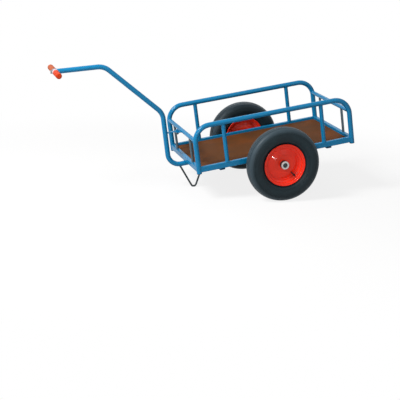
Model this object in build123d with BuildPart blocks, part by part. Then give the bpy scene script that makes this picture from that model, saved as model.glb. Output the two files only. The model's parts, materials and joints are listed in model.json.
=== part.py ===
from build123d import *
import os
from math import asin, atan2, cos, degrees, hypot, radians, sin, sqrt

os.makedirs("parts", exist_ok=True)

# Two-wheeled hand cart, parked on its wheels and the foot under the drawbar. Millimetres.
# Bed coordinates: x forward from the middle of the bed, y to the left, z up from the rails' axis.

# Side hoops, each one bent tube: front leg, top rail and rear leg
bed_length = 870.0
hoop_height = 230.0
hoop_bend = 85.0
hoop_tube = 27.0
hoop_wall = 2.0
leg_drop = 5.0
plug_cap = 3.0
plug_edge = 1.0
plug_length = 18.0
plug_clearance = 0.1

# Rails, posts and rods between the hoops
rail_height = 30.0
rail_width = 20.0
rail_wall = 2.0
rail_corner = 3.0
upper_rail_drop = 72.0
upper_rail_tube = 22.0
upper_rail_wall = 2.0
post_spacing = 550.0
post_tube = 22.0
post_wall = 1.5
rod_spacing = 320.0
rod_diameter = 14.0
weld_gap = 0.1

# Deck board and the cross members that it lies on
deck_thickness = 12.0
deck_recess = 12.0
deck_gap = 4.0
deck_edge = 1.0
cross_setback = 131.0
cross_width = 30.0
cross_height = 20.0
cross_wall = 2.0
cross_corner = 3.0

# Axle and the plates that carry it
axle_drop = 37.0
axle_setback = 6.0
axle_diameter = 25.0
stub_diameter = 20.0
stub_chamfer = 1.5
collar_height = 3.5
collar_width = 8.0
hub_play = 0.5
plate_thickness = 8.0
plate_top_length = 90.0
plate_top_depth = 8.0
plate_eye_wall = 8.5
clip_height = 1.5
clip_thickness = 1.5
clip_room = 0.8

# Wheels
wheel_track = 690.0
wheel_clearance = 9.5
tyre_diameter = 400.0
tyre_width = 98.0
tyre_wall = 8.0
tread_width = 72.0
tread_drop = 9.0
groove_count = 4
groove_pitch = 14.0
groove_width = 4.0
groove_depth = 4.5
rim_seat_diameter = 203.2
rim_flange_height = 13.4
rim_well_depth = 12.6
rim_width = 64.0
rim_seat_width = 14.0
rim_well_slope = 4.0
rim_lip = 2.0
rim_sheet = 2.6
rim_fold = 4.0
bead_clearance = 0.2
dish_step = 11.0
dish_slope_width = 26.0
dish_setback = 3.0
dish_depth = 8.0
dish_fold = 10.0
hub_length = 80.0
hub_diameter = 44.0
hub_counterbore_depth = 6.0
running_clearance = 0.05
valve_diameter = 9.0
valve_cap_diameter = 7.0
valve_length = 24.0
valve_cap_length = 9.0
valve_margin = 1.5
valve_angle = 225.0

# Drawbar: x ahead of the front legs, z above the rails' axis
drawbar_tube = 27.0
drawbar_wall = 2.5
drawbar_bend = 85.0
knee_bend = 65.0
knee_reach = 96.6
neck_reach = 92.6
neck_height = 270.8
shoulder_reach = 370.9
shoulder_height = 578.6
handle_reach = 632.0
handle_height = 596.5

# T-handle at the end of the drawbar
handle_width = 287.0
handle_tube = 22.0
handle_wall = 2.0
ring_wall = 4.0
ring_margin = 3.5
grip_wall = 5.5
grip_end = 4.0
grip_round = 3.0
grip_clearance = 0.1

# Flat strut and lug that tie the drawbar to the upper front rail
strut_width = 20.0
strut_thickness = 5.0
lug_width = 42.0
lug_thickness = 5.0
lug_reach = 24.0
strut_overlap = 20.0

# Foot: a bent rod under the drawbar; x ahead of the front legs, z above the rails' axis, and the
# rear end's place ahead of the drawbar's rear end
foot_rod = 10.0
foot_front_reach = 40.0
foot_corner_reach = -25.3
foot_rear_margin = 9.0
foot_corner_height = -189.3
foot_bend = 15.0

# The bed fits between the wheels
bed_width = wheel_track - tyre_width - 2 * wheel_clearance - hoop_tube

leg_x = bed_length / 2
leg_y = bed_width / 2
hoop_radius = hoop_tube / 2
leg_end = -rail_height / 2 - leg_drop
upper_rail_height = hoop_height - upper_rail_drop
axle_x = -axle_setback
axle_z = -axle_drop
tyre_radius = tyre_diameter / 2
drawbar_radius = drawbar_tube / 2
run_height = -rail_height / 2 - drawbar_radius - weld_gap
deck_top = rail_height / 2 - deck_recess
deck_under = deck_top - deck_thickness
cross_axis = deck_under - cross_height / 2
cross_x = leg_x - cross_setback
run_end = cross_x + cross_width / 2
handle_x = leg_x + handle_reach
ring_radius = handle_tube / 2 + ring_wall
ring_width = drawbar_tube + 2 * ring_margin
grip_radius = handle_tube / 2 + grip_wall
grip_length = (handle_width - ring_width) / 2

# The floor touches the tyres and the round of the foot: circle of the foot's bend, then the slope
# of the line under both circles, which is how far the bed stands nose down
foot_corner = Vector(leg_x + foot_corner_reach, 0, foot_corner_height)
foot_front = Vector(leg_x + foot_front_reach, 0, run_height)
foot_rear = Vector(run_end + foot_rear_margin, 0, run_height)
front_run = (foot_front - foot_corner).normalized()
rear_run = (foot_rear - foot_corner).normalized()
half_turn = radians(front_run.get_angle(rear_run) / 2)
bend_centre = foot_corner + (front_run + rear_run).normalized() * (foot_bend / sin(half_turn))
foot_round = foot_bend + foot_rod / 2
axle_to_foot_x = bend_centre.X - axle_x
axle_to_foot_z = bend_centre.Z - axle_z
slope = atan2(axle_to_foot_z, axle_to_foot_x)
slope += asin((tyre_radius - foot_round) / hypot(axle_to_foot_x, axle_to_foot_z))


def parked_x(x, z):
    return x * cos(slope) + z * sin(slope)


def parked_z(x, z):
    return z * cos(slope) - x * sin(slope)


# The part's origin is on the floor, under the middle of its length
front_end = parked_x(handle_x, handle_height) + grip_radius
rear_end = parked_x(-leg_x - hoop_radius, leg_end)
bed_place = (-(front_end + rear_end) / 2, 0, tyre_radius - parked_z(axle_x, axle_z))
parked = Location(bed_place, (0, degrees(slope), 0))
axle_place_x = bed_place[0] + parked_x(axle_x, axle_z)
axle_line = Axis((axle_place_x, 0, tyre_radius), (0, 1, 0))


def level(z):
    return Plane(parked * Plane.XY.offset(z).location)


def lengthwise(y):
    return Plane(parked * Plane.XZ.offset(-y).location)


def crosswise(x):
    return Plane(parked * Plane.YZ.offset(x).location)


# Half section through a wheel's axis: local x along the axle, local y out from it
axle_section = Plane((axle_place_x, 0, tyre_radius), x_dir=(0, 1, 0), z_dir=(1, 0, 0))

bed_up = Axis(level(0).origin, level(0).z_dir)

sides = {"left": 1, "right": -1}
ends = {"front": 1, "rear": -1}


# Centre lines of the bent tubes
def hoop_line(side):
    with BuildLine(lengthwise(side * leg_y)) as hoop_path:
        FilletPolyline(
            (leg_x, leg_end),
            (leg_x, hoop_height),
            (-leg_x, hoop_height),
            (-leg_x, leg_end),
            radius=hoop_bend,
        )
    return hoop_path.line


with BuildLine(lengthwise(0)) as drawbar_path:
    FilletPolyline(
        (run_end, run_height),
        (leg_x + knee_reach, run_height),
        (leg_x + neck_reach, neck_height),
        (leg_x + shoulder_reach, shoulder_height),
        (handle_x, handle_height),
        radius=(knee_bend, drawbar_bend, drawbar_bend),
    )
drawbar_line = drawbar_path.line


def across(path):
    return Plane(path @ 0, z_dir=path % 0)


# Envelopes that pieces welded to a tube are cut to
with BuildPart() as hoop_envelope:
    for side in sides.values():
        hoop_axis = hoop_line(side)
        with BuildSketch(across(hoop_axis)):
            Circle(hoop_radius + weld_gap)
        sweep(path=hoop_axis)

with BuildPart() as upper_rail_envelope:
    for end in ends.values():
        with BuildSketch(lengthwise(0)):
            with Locations((end * leg_x, upper_rail_height)):
                Circle(upper_rail_tube / 2 + weld_gap)
        extrude(amount=leg_y, both=True)

with BuildPart() as drawbar_envelope:
    with BuildSketch(across(drawbar_line)):
        Circle(drawbar_radius + weld_gap)
    sweep(path=drawbar_line)

with BuildPart() as ring_envelope:
    with BuildSketch(lengthwise(0)):
        with Locations((handle_x, handle_height)):
            Circle(ring_radius + weld_gap)
    extrude(amount=handle_width / 2, both=True)

# Side hoops
for name, side in sides.items():
    hoop_axis = hoop_line(side)
    with BuildPart() as side_hoop:
        with BuildSketch(across(hoop_axis)):
            Circle(hoop_radius)
            Circle(hoop_radius - hoop_wall, mode=Mode.SUBTRACT)
        sweep(path=hoop_axis)
    side_hoop.part.label = f"side_hoop_{name}"
    export_step(side_hoop.part, f"parts/side_hoop_{name}.step")

# Plugs that close the legs
for end_name, end in ends.items():
    for side_name, side in sides.items():
        with BuildPart() as leg_plug:
            with BuildSketch(level(leg_end)):
                with Locations((end * leg_x, side * leg_y)):
                    Circle(hoop_radius)
            extrude(amount=-plug_cap)
            chamfer(leg_plug.edges().sort_by(bed_up)[0], plug_edge)
            with BuildSketch(level(leg_end)):
                with Locations((end * leg_x, side * leg_y)):
                    Circle(hoop_radius - hoop_wall - plug_clearance)
            extrude(amount=plug_length - plug_cap)
        leg_plug.part.label = f"leg_plug_{end_name}_{side_name}"
        export_step(leg_plug.part, f"parts/leg_plug_{end_name}_{side_name}.step")

# Side rails, from leg to leg under the hoops
for name, side in sides.items():
    with BuildPart() as side_rail:
        with BuildSketch(crosswise(0)):
            with Locations((side * leg_y, 0)):
                RectangleRounded(rail_width, rail_height, rail_corner)
                Rectangle(rail_width - 2 * rail_wall, rail_height - 2 * rail_wall, mode=Mode.SUBTRACT)
        extrude(amount=leg_x, both=True)
        add(hoop_envelope.part, mode=Mode.SUBTRACT)
    side_rail.part.label = f"side_rail_{name}"
    export_step(side_rail.part, f"parts/side_rail_{name}.step")

# Lower and upper end rails
for name, end in ends.items():
    with BuildPart() as lower_rail:
        with BuildSketch(lengthwise(0)):
            with Locations((end * leg_x, 0)):
                RectangleRounded(rail_width, rail_height, rail_corner)
                Rectangle(rail_width - 2 * rail_wall, rail_height - 2 * rail_wall, mode=Mode.SUBTRACT)
        extrude(amount=leg_y - rail_width / 2 - weld_gap, both=True)
        add(hoop_envelope.part, mode=Mode.SUBTRACT)
    lower_rail.part.label = f"end_rail_lower_{name}"
    export_step(lower_rail.part, f"parts/end_rail_lower_{name}.step")

    with BuildPart() as upper_rail:
        with BuildSketch(lengthwise(0)):
            with Locations((end * leg_x, upper_rail_height)):
                Circle(upper_rail_tube / 2)
                Circle(upper_rail_tube / 2 - upper_rail_wall, mode=Mode.SUBTRACT)
        extrude(amount=leg_y, both=True)
        add(hoop_envelope.part, mode=Mode.SUBTRACT)
    upper_rail.part.label = f"end_rail_upper_{name}"
    export_step(upper_rail.part, f"parts/end_rail_upper_{name}.step")

# Posts between the side rails and the top of the hoops
for end_name, end in ends.items():
    for side_name, side in sides.items():
        with BuildPart() as side_post:
            with BuildSketch(level(rail_height / 2)):
                with Locations((end * post_spacing / 2, side * leg_y)):
                    Circle(post_tube / 2)
                    Circle(post_tube / 2 - post_wall, mode=Mode.SUBTRACT)
            extrude(amount=hoop_height - rail_height / 2)
            add(hoop_envelope.part, mode=Mode.SUBTRACT)
        side_post.part.label = f"side_post_{end_name}_{side_name}"
        export_step(side_post.part, f"parts/side_post_{end_name}_{side_name}.step")

# Plated rods between the end rails
for end_name, end in ends.items():
    for side_name, side in sides.items():
        with BuildPart() as end_rod:
            with BuildSketch(level(rail_height / 2)):
                with Locations((end * leg_x, side * rod_spacing / 2)):
                    Circle(rod_diameter / 2)
            extrude(amount=upper_rail_height - rail_height / 2)
            add(upper_rail_envelope.part, mode=Mode.SUBTRACT)
        end_rod.part.label = f"end_rod_{end_name}_{side_name}"
        export_step(end_rod.part, f"parts/end_rod_{end_name}_{side_name}.step")

# Deck board
with BuildPart() as deck_board:
    with BuildSketch(level(deck_under)):
        Rectangle(bed_length - rail_width - 2 * deck_gap, bed_width - rail_width - 2 * deck_gap)
    extrude(amount=deck_thickness)
    chamfer(deck_board.edges(), deck_edge)
deck_board.part.label = "deck_board"
export_step(deck_board.part, "parts/deck_board.step")

# Cross members under the board
for name, end in ends.items():
    with BuildPart() as cross_member:
        with BuildSketch(lengthwise(0)):
            with Locations((end * cross_x, cross_axis)):
                RectangleRounded(cross_width, cross_height, cross_corner)
                Rectangle(cross_width - 2 * cross_wall, cross_height - 2 * cross_wall, mode=Mode.SUBTRACT)
        extrude(amount=leg_y - rail_width / 2, both=True)
    cross_member.part.label = f"cross_member_{name}"
    export_step(cross_member.part, f"parts/cross_member_{name}.step")

# Axle: a bar with a collar inside each hub and a stub that the hub turns on
hub_inner = wheel_track / 2 - hub_length / 2
hub_outer = wheel_track / 2 + hub_length / 2
collar_outer = hub_inner - hub_play
collar_inner = collar_outer - collar_width
collar_radius = axle_diameter / 2 + collar_height
clip_inner = hub_outer - hub_counterbore_depth + hub_play
clip_radius = stub_diameter / 2 + clip_height
bore = stub_diameter / 2 + running_clearance
with BuildPart() as axle:
    with BuildSketch(axle_section):
        with BuildLine():
            Polyline(
                (0, 0),
                (0, axle_diameter / 2),
                (collar_inner, axle_diameter / 2),
                (collar_inner, collar_radius),
                (collar_outer, collar_radius),
                (collar_outer, stub_diameter / 2),
                (hub_outer - stub_chamfer, stub_diameter / 2),
                (hub_outer, stub_diameter / 2 - stub_chamfer),
                (hub_outer, 0),
                close=True,
            )
        make_face()
        mirror(about=Plane.YZ)
    revolve(axis=axle_line)
axle.part.label = "axle"
export_step(axle.part, "parts/axle.step")

# Plates under the side rails that the axle goes through, and the clips that hold the wheels on
plate_eye = axle_diameter / 2 + plate_eye_wall
for name, side in sides.items():
    with BuildPart() as axle_plate:
        with BuildSketch(lengthwise(side * leg_y)):
            with Locations((axle_x, axle_z)):
                Circle(plate_eye)
            with Locations((axle_x, -rail_height / 2)):
                Rectangle(plate_top_length, plate_top_depth, align=(Align.CENTER, Align.MAX))
            make_hull()
            with Locations((axle_x, -rail_height / 2)):
                Rectangle(
                    2 * plate_eye + plate_top_length,
                    2 * plate_eye,
                    align=(Align.CENTER, Align.MIN),
                    mode=Mode.SUBTRACT,
                )
            with Locations((axle_x, axle_z)):
                Circle(axle_diameter / 2 + weld_gap, mode=Mode.SUBTRACT)
        extrude(amount=plate_thickness / 2, both=True)
    axle_plate.part.label = f"axle_plate_{name}"
    export_step(axle_plate.part, f"parts/axle_plate_{name}.step")

    with BuildPart() as axle_clip:
        with BuildSketch(Plane((axle_place_x, side * clip_inner, tyre_radius), z_dir=(0, side, 0))):
            Circle(clip_radius)
            Circle(bore, mode=Mode.SUBTRACT)
        extrude(amount=clip_thickness)
    axle_clip.part.label = f"axle_clip_{name}"
    export_step(axle_clip.part, f"parts/axle_clip_{name}.step")

# Wheels
seat_radius = rim_seat_diameter / 2
flange_radius = seat_radius + rim_flange_height
well_radius = seat_radius - rim_well_depth
dish_rim_radius = well_radius - dish_step
dish_floor_radius = dish_rim_radius - dish_slope_width
widest_radius = (tyre_radius + flange_radius) / 2
crown_radius = (tread_width**2 / 4 + tread_drop**2) / (2 * tread_drop)
seat_line = seat_radius - rim_sheet / 2
well_line = well_radius - rim_sheet / 2
flange_line = rim_width / 2 - rim_sheet / 2
bead_face = flange_line - rim_sheet / 2 - bead_clearance
bead_foot = seat_radius + bead_clearance
for name, side in sides.items():
    wheel_section = Plane(
        (axle_place_x, side * wheel_track / 2, tyre_radius), x_dir=(0, side, 0), z_dir=(side, 0, 0)
    )
    with BuildPart() as tyre:
        with BuildSketch(wheel_section):
            with BuildLine():
                shoulder = (tread_width / 2, tyre_radius - tread_drop)
                wall_top = (rim_width / 2, flange_radius + tyre_wall / 2)
                TangentArc((0, tyre_radius), shoulder, tangent=(1, 0))
                ThreePointArc(shoulder, (tyre_width / 2, widest_radius), wall_top)
                Polyline(
                    wall_top,
                    (bead_face, flange_radius),
                    (bead_face, bead_foot + rim_fold),
                    (bead_face - rim_fold, bead_foot),
                    (0, bead_foot),
                    (0, tyre_radius),
                )
            make_face()
            mirror(about=Plane.YZ)
            offset(amount=-tyre_wall, mode=Mode.SUBTRACT)
            with Locations((0, bead_foot)):
                Rectangle(
                    2 * (bead_face - tyre_wall),
                    flange_radius - bead_foot,
                    align=(Align.CENTER, Align.MIN),
                    mode=Mode.SUBTRACT,
                )
            for groove in range(groove_count):
                groove_place = (groove - (groove_count - 1) / 2) * groove_pitch
                crown_drop = crown_radius - sqrt(crown_radius**2 - groove_place**2)
                with Locations((groove_place, tyre_radius - crown_drop)):
                    Rectangle(groove_width, 2 * groove_depth, mode=Mode.SUBTRACT)
        revolve(axis=axle_line)
    tyre.part.label = f"tyre_{name}"
    export_step(tyre.part, f"parts/tyre_{name}.step")

    with BuildPart() as rim:
        with BuildSketch(wheel_section):
            with BuildLine():
                FilletPolyline(
                    (-flange_line - rim_lip, flange_radius - rim_sheet / 2),
                    (-flange_line, seat_line),
                    (-flange_line + rim_seat_width, seat_line),
                    (-flange_line + rim_seat_width + rim_well_slope, well_line),
                    (flange_line - rim_seat_width - rim_well_slope, well_line),
                    (flange_line - rim_seat_width, seat_line),
                    (flange_line, seat_line),
                    (flange_line + rim_lip, flange_radius - rim_sheet / 2),
                    radius=rim_fold,
                )
                offset(amount=rim_sheet / 2, side=Side.BOTH)
            make_face()
            with BuildLine():
                FilletPolyline(
                    (dish_setback + dish_depth, hub_diameter / 2 + weld_gap + rim_sheet / 2),
                    (dish_setback + dish_depth, dish_floor_radius),
                    (dish_setback, dish_rim_radius),
                    (dish_setback, well_line),
                    radius=dish_fold,
                )
                offset(amount=rim_sheet / 2, side=Side.BOTH)
            make_face()
            mirror(about=Plane.YZ)
        revolve(axis=axle_line)
    rim.part.label = f"rim_{name}"
    export_step(rim.part, f"parts/rim_{name}.step")

    with BuildPart() as hub:
        with BuildSketch(wheel_section):
            with Locations((0, bore)):
                Rectangle(hub_length, hub_diameter / 2 - bore, align=(Align.CENTER, Align.MIN))
            with Locations((hub_length / 2, bore)):
                Rectangle(
                    hub_counterbore_depth,
                    clip_radius + clip_room - bore,
                    align=(Align.MAX, Align.MIN),
                    mode=Mode.SUBTRACT,
                )
        revolve(axis=axle_line)
    hub.part.label = f"hub_{name}"
    export_step(hub.part, f"parts/hub_{name}.step")

    valve_seat = well_radius - rim_sheet - bead_clearance
    valve_rise = dish_depth * (dish_rim_radius - valve_seat + valve_length) / dish_slope_width
    valve_offset = dish_setback + valve_rise + rim_sheet / 2 + valve_margin + valve_cap_diameter / 2
    valve_out = Vector(cos(radians(valve_angle)), 0, sin(radians(valve_angle)))
    valve_origin = Vector(axle_place_x, side * (wheel_track / 2 + valve_offset), tyre_radius)
    valve_plane = Plane(valve_origin + valve_out * valve_seat, z_dir=valve_out * -1)
    with BuildPart() as valve:
        with BuildSketch(valve_plane):
            Circle(valve_diameter / 2)
        extrude(amount=valve_length - valve_cap_length)
        with BuildSketch(valve_plane.offset(valve_length - valve_cap_length)):
            Circle(valve_cap_diameter / 2)
        extrude(amount=valve_cap_length)
    valve.part.label = f"valve_{name}"
    export_step(valve.part, f"parts/valve_{name}.step")

# Handle bar across the end of the drawbar, its middle ring and the grips
with BuildPart() as handle_bar:
    with BuildSketch(lengthwise(0)):
        with Locations((handle_x, handle_height)):
            Circle(handle_tube / 2)
            Circle(handle_tube / 2 - handle_wall, mode=Mode.SUBTRACT)
    extrude(amount=handle_width / 2 - grip_end, both=True)
handle_bar.part.label = "handle_bar"
export_step(handle_bar.part, "parts/handle_bar.step")

with BuildPart() as handle_ring:
    with BuildSketch(lengthwise(0)):
        with Locations((handle_x, handle_height)):
            Circle(ring_radius)
            Circle(handle_tube / 2 + weld_gap, mode=Mode.SUBTRACT)
    extrude(amount=ring_width / 2, both=True)
handle_ring.part.label = "handle_ring"
export_step(handle_ring.part, "parts/handle_ring.step")

for name, side in sides.items():
    with BuildPart() as grip:
        with BuildSketch(lengthwise(side * ring_width / 2)):
            with Locations((handle_x, handle_height)):
                Circle(grip_radius)
        extrude(amount=-side * grip_length)
        fillet(grip.edges(), grip_round)
        with BuildSketch(lengthwise(side * ring_width / 2)):
            with Locations((handle_x, handle_height)):
                Circle(handle_tube / 2 + grip_clearance)
        extrude(amount=-side * (grip_length - grip_end), mode=Mode.SUBTRACT)
    grip.part.label = f"grip_{name}"
    export_step(grip.part, f"parts/grip_{name}.step")

# Drawbar
with BuildPart() as drawbar:
    with BuildSketch(across(drawbar_line)):
        Circle(drawbar_radius)
        Circle(drawbar_radius - drawbar_wall, mode=Mode.SUBTRACT)
    sweep(path=drawbar_line)
    add(ring_envelope.part, mode=Mode.SUBTRACT)
drawbar.part.label = "drawbar"
export_step(drawbar.part, "parts/drawbar.step")

# Lug on the upper front rail, and the strut that lies on it and runs to the drawbar
lug_tip = leg_x + upper_rail_tube / 2 + lug_reach
strut_start = lug_tip - strut_overlap
upright_share = (upper_rail_height - run_height) / (neck_height - run_height)
strut_end = leg_x + knee_reach + (neck_reach - knee_reach) * upright_share
strut_under = upper_rail_height - strut_thickness / 2
with BuildPart() as rail_lug:
    with BuildSketch(level(strut_under)):
        with Locations((leg_x, 0)):
            Rectangle(upper_rail_tube / 2 + lug_reach, lug_width, align=(Align.MIN, Align.CENTER))
    extrude(amount=-lug_thickness)
    add(upper_rail_envelope.part, mode=Mode.SUBTRACT)
rail_lug.part.label = "rail_lug"
export_step(rail_lug.part, "parts/rail_lug.step")

with BuildPart() as drawbar_strut:
    with BuildSketch(level(strut_under)):
        with Locations((strut_start, 0)):
            Rectangle(strut_end - strut_start, strut_width, align=(Align.MIN, Align.CENTER))
    extrude(amount=strut_thickness)
    add(drawbar_envelope.part, mode=Mode.SUBTRACT)
drawbar_strut.part.label = "drawbar_strut"
export_step(drawbar_strut.part, "parts/drawbar_strut.step")

# Foot
with BuildPart() as foot:
    with BuildLine(lengthwise(0)) as foot_path:
        FilletPolyline(
            (foot_front.X, foot_front.Z),
            (foot_corner.X, foot_corner.Z),
            (foot_rear.X, foot_rear.Z),
            radius=foot_bend,
        )
    with BuildSketch(across(foot_path.line)):
        Circle(foot_rod / 2)
    sweep(path=foot_path.line)
    add(drawbar_envelope.part, mode=Mode.SUBTRACT)
foot.part.label = "foot"
export_step(foot.part, "parts/foot.step")
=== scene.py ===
import bpy
import json
from math import asin, atan2, cos, hypot, pi, radians, sin, sqrt, tan
from mathutils import Matrix, Vector


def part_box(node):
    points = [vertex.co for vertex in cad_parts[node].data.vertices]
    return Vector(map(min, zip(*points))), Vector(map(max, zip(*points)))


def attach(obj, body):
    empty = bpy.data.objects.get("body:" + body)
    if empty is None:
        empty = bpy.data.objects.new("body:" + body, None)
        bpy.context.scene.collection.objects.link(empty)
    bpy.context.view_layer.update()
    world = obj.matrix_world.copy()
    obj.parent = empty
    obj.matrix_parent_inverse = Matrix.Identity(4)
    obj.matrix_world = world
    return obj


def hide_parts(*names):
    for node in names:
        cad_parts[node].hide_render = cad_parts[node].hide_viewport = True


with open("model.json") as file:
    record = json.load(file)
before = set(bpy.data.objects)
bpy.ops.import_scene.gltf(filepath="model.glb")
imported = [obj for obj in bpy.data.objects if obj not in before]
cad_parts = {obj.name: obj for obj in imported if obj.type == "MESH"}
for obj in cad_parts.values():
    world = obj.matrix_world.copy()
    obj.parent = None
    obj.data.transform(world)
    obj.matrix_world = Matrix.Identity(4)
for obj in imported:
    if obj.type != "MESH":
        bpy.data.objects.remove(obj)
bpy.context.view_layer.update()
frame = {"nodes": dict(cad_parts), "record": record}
nodes = frame["nodes"]
scene = bpy.context.scene
scene.view_settings.view_transform = "Standard"
print("frame loaded:", len(nodes), "nodes")

# The bed stands nose down, so its pieces are measured along the deck's own directions
mounts = {mount["name"]: mount for mount in frame["record"]["mounts"]}
bedUp = Vector(mounts["deck_top"]["axis"]).normalized()
bedAcross = Vector((0, 1, 0))
bedAlong = bedAcross.cross(bedUp)
bedMatrix = Matrix((bedAlong, bedAcross, bedUp)).transposed().to_4x4()
bedMatrix.translation = Vector(mounts["deck_top"]["pos_m"])
bedTurn = bedMatrix.to_euler()


def bedPoint(x, y, z):
    return bedMatrix @ Vector((x, y, z))


# Camera, as fitted to the photograph's tubes and wheels
cameraView = {
    "target": (-0.0198, 0.0, -0.0788),
    "azimuth": 16.334,                             # from the cart's left side towards its front
    "elevation": 15.743,
    "roll": 1.663,
    "distance": 6.4866,
    "lens": 104.9,
    "sensor": 36.0,
}


def setCamera(shape):
    turn, rise, lean = (radians(shape[key]) for key in ("azimuth", "elevation", "roll"))
    back = Vector((sin(turn) * cos(rise), cos(turn) * cos(rise), sin(rise)))
    levelRight = Vector((0, 0, 1)).cross(back).normalized()
    levelUp = back.cross(levelRight)
    right = levelRight * cos(lean) + levelUp * sin(lean)
    bpy.ops.object.camera_add()
    camera = bpy.context.object
    pose = Matrix((right, back.cross(right), back)).transposed().to_4x4()
    pose.translation = Vector(shape["target"]) + back * shape["distance"]
    camera.matrix_world = pose
    camera.data.sensor_width = shape["sensor"]
    camera.data.lens = shape["lens"]
    scene.camera = camera


bpy.ops.object.select_all(action="DESELECT")
setCamera(cameraView)
print("camera set")


class Wire:                                        # a node's output, so that sums read as plain Python
    def __init__(self, paint, socket):
        self.paint = paint
        self.socket = socket

    def sum(self, operation, first, second):
        return self.paint.node("ShaderNodeMath", {"operation": operation}, {0: first, 1: second})

    def __add__(self, other):
        return self.sum("ADD", self, other)

    def __radd__(self, other):
        return self.sum("ADD", other, self)

    def __sub__(self, other):
        return self.sum("SUBTRACT", self, other)

    def __rsub__(self, other):
        return self.sum("SUBTRACT", other, self)

    def __mul__(self, other):
        return self.sum("MULTIPLY", self, other)

    def __rmul__(self, other):
        return self.sum("MULTIPLY", other, self)

    def __truediv__(self, other):
        return self.sum("DIVIDE", self, other)

    def __rtruediv__(self, other):
        return self.sum("DIVIDE", other, self)


class Paint:                                       # one node tree and the ways to add to it
    def __init__(self, tree):
        self.tree = tree
        tree.nodes.clear()

    def node(self, kind, settings, sockets, out=0):
        made = self.tree.nodes.new(kind)
        for key, value in settings.items():
            setattr(made, key, value)
        for key, value in sockets.items():
            if isinstance(value, Wire):
                self.tree.links.new(value.socket, made.inputs[key])
            else:
                made.inputs[key].default_value = value
        return Wire(self, made.outputs[out]) if made.outputs else None

    def place(self, scale=(1, 1, 1), turn=(0, 0, 0), move=(0, 0, 0), kind="POINT"):
        spot = self.node("ShaderNodeTexCoord", {}, {}, "Object")
        return self.node("ShaderNodeMapping", {"vector_type": kind},
                         {"Vector": spot, "Scale": scale, "Rotation": turn, "Location": move})

    def noise(self, where, scale, detail, rough=0.5):
        return self.node("ShaderNodeTexNoise", {}, {
            "Vector": where, "Scale": scale, "Detail": detail, "Roughness": rough})

    def ramp(self, value, low, high, outLow=0.0, outHigh=1.0):
        return self.node("ShaderNodeMapRange", {"interpolation_type": "SMOOTHSTEP"}, {
            "Value": value, "From Min": low, "From Max": high, "To Min": outLow, "To Max": outHigh})

    def mix(self, factor, first, second):
        return self.node("ShaderNodeMix", {"data_type": "RGBA"}, {0: factor, 6: first, 7: second}, 2)

    def axis(self, vector, letter):
        return self.node("ShaderNodeSeparateXYZ", {}, {0: vector}, letter)

    def size(self, vector):                        # each part of it without its sign
        return self.node("ShaderNodeVectorMath", {"operation": "ABSOLUTE"}, {0: vector})

    def length(self, vector):
        return self.node("ShaderNodeVectorMath", {"operation": "LENGTH"}, {0: vector}, "Value")

    def reach(self, spot):                         # distance from the y axis
        flat = self.node("ShaderNodeVectorMath", {"operation": "MULTIPLY"}, {0: spot, 1: (1, 0, 1)})
        return self.length(flat)

    def waves(self, value, half):                  # up from 0 to 1 and down again
        return self.node("ShaderNodeMath", {"operation": "PINGPONG"}, {0: value, 1: half}) / half

    def normal(self):
        return self.node("ShaderNodeNewGeometry", {}, {}, "Normal")

    def bump(self, height, distance, strength):
        return self.node("ShaderNodeBump", {}, {
            "Height": height, "Distance": distance, "Strength": strength})

    def surface(self, sockets):
        shader = self.node("ShaderNodeBsdfPrincipled", {}, sockets)
        self.node("ShaderNodeOutputMaterial", {}, {"Surface": shader})


def newPaint(name):
    material = bpy.data.materials.new(name)
    material.use_nodes = True
    return material, Paint(material.node_tree)


def rgb(red, green, blue):                         # a colour as seen on screen, 0 to 255, made linear
    def straight(part):
        share = part / 255
        return share / 12.92 if share <= 0.04045 else ((share + 0.055) / 1.055) ** 2.4
    return (straight(red), straight(green), straight(blue), 1.0)


# Stage: pale floor, soft lamps and a white surround
stage = {
    "floorRadius": 60.0,
    "floorColour": (0.92, 0.91, 0.905, 1.0),
    "floorBounce": (0.5, 0.5, 0.5, 1.0),           # what the floor throws back on to the cart
    "floorGlow": 0.83,                             # share of the floor that stays white to the camera
    "floorSides": 96,
    "fadeStart": 1.0,                              # from here out the floor turns white
    "fadeEnd": 2.2,
    "fill": 0.15,                                  # strength of the surround as a light
    "lamps": [                                     # place, size, watts
        ((2.7, 1.1, 3.4), 1.5, 215.0),
        ((2.4, 4.6, 1.6), 1.4, 36.0),
        ((0.4, 5.29, 0.66), 0.2, 15.0),            # the glint on the near rim
        ((-1.8, 3.4, 2.2), 2.0, 8.0),
        ((-1.2, -3.0, 3.0), 2.4, 24.0),
    ],
    "lampAim": (0.0, 0.0, 0.3),
}


def seenDirectly(paint):                           # 1 for what the eye or a mirror meets, 0 for stray light
    rays = [paint.node("ShaderNodeLightPath", {}, {}, name)
            for name in ("Is Camera Ray", "Is Glossy Ray", "Is Transmission Ray")]
    first = rays[0].sum("MAXIMUM", rays[0], rays[1])
    return first.sum("MAXIMUM", first, rays[2])


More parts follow.
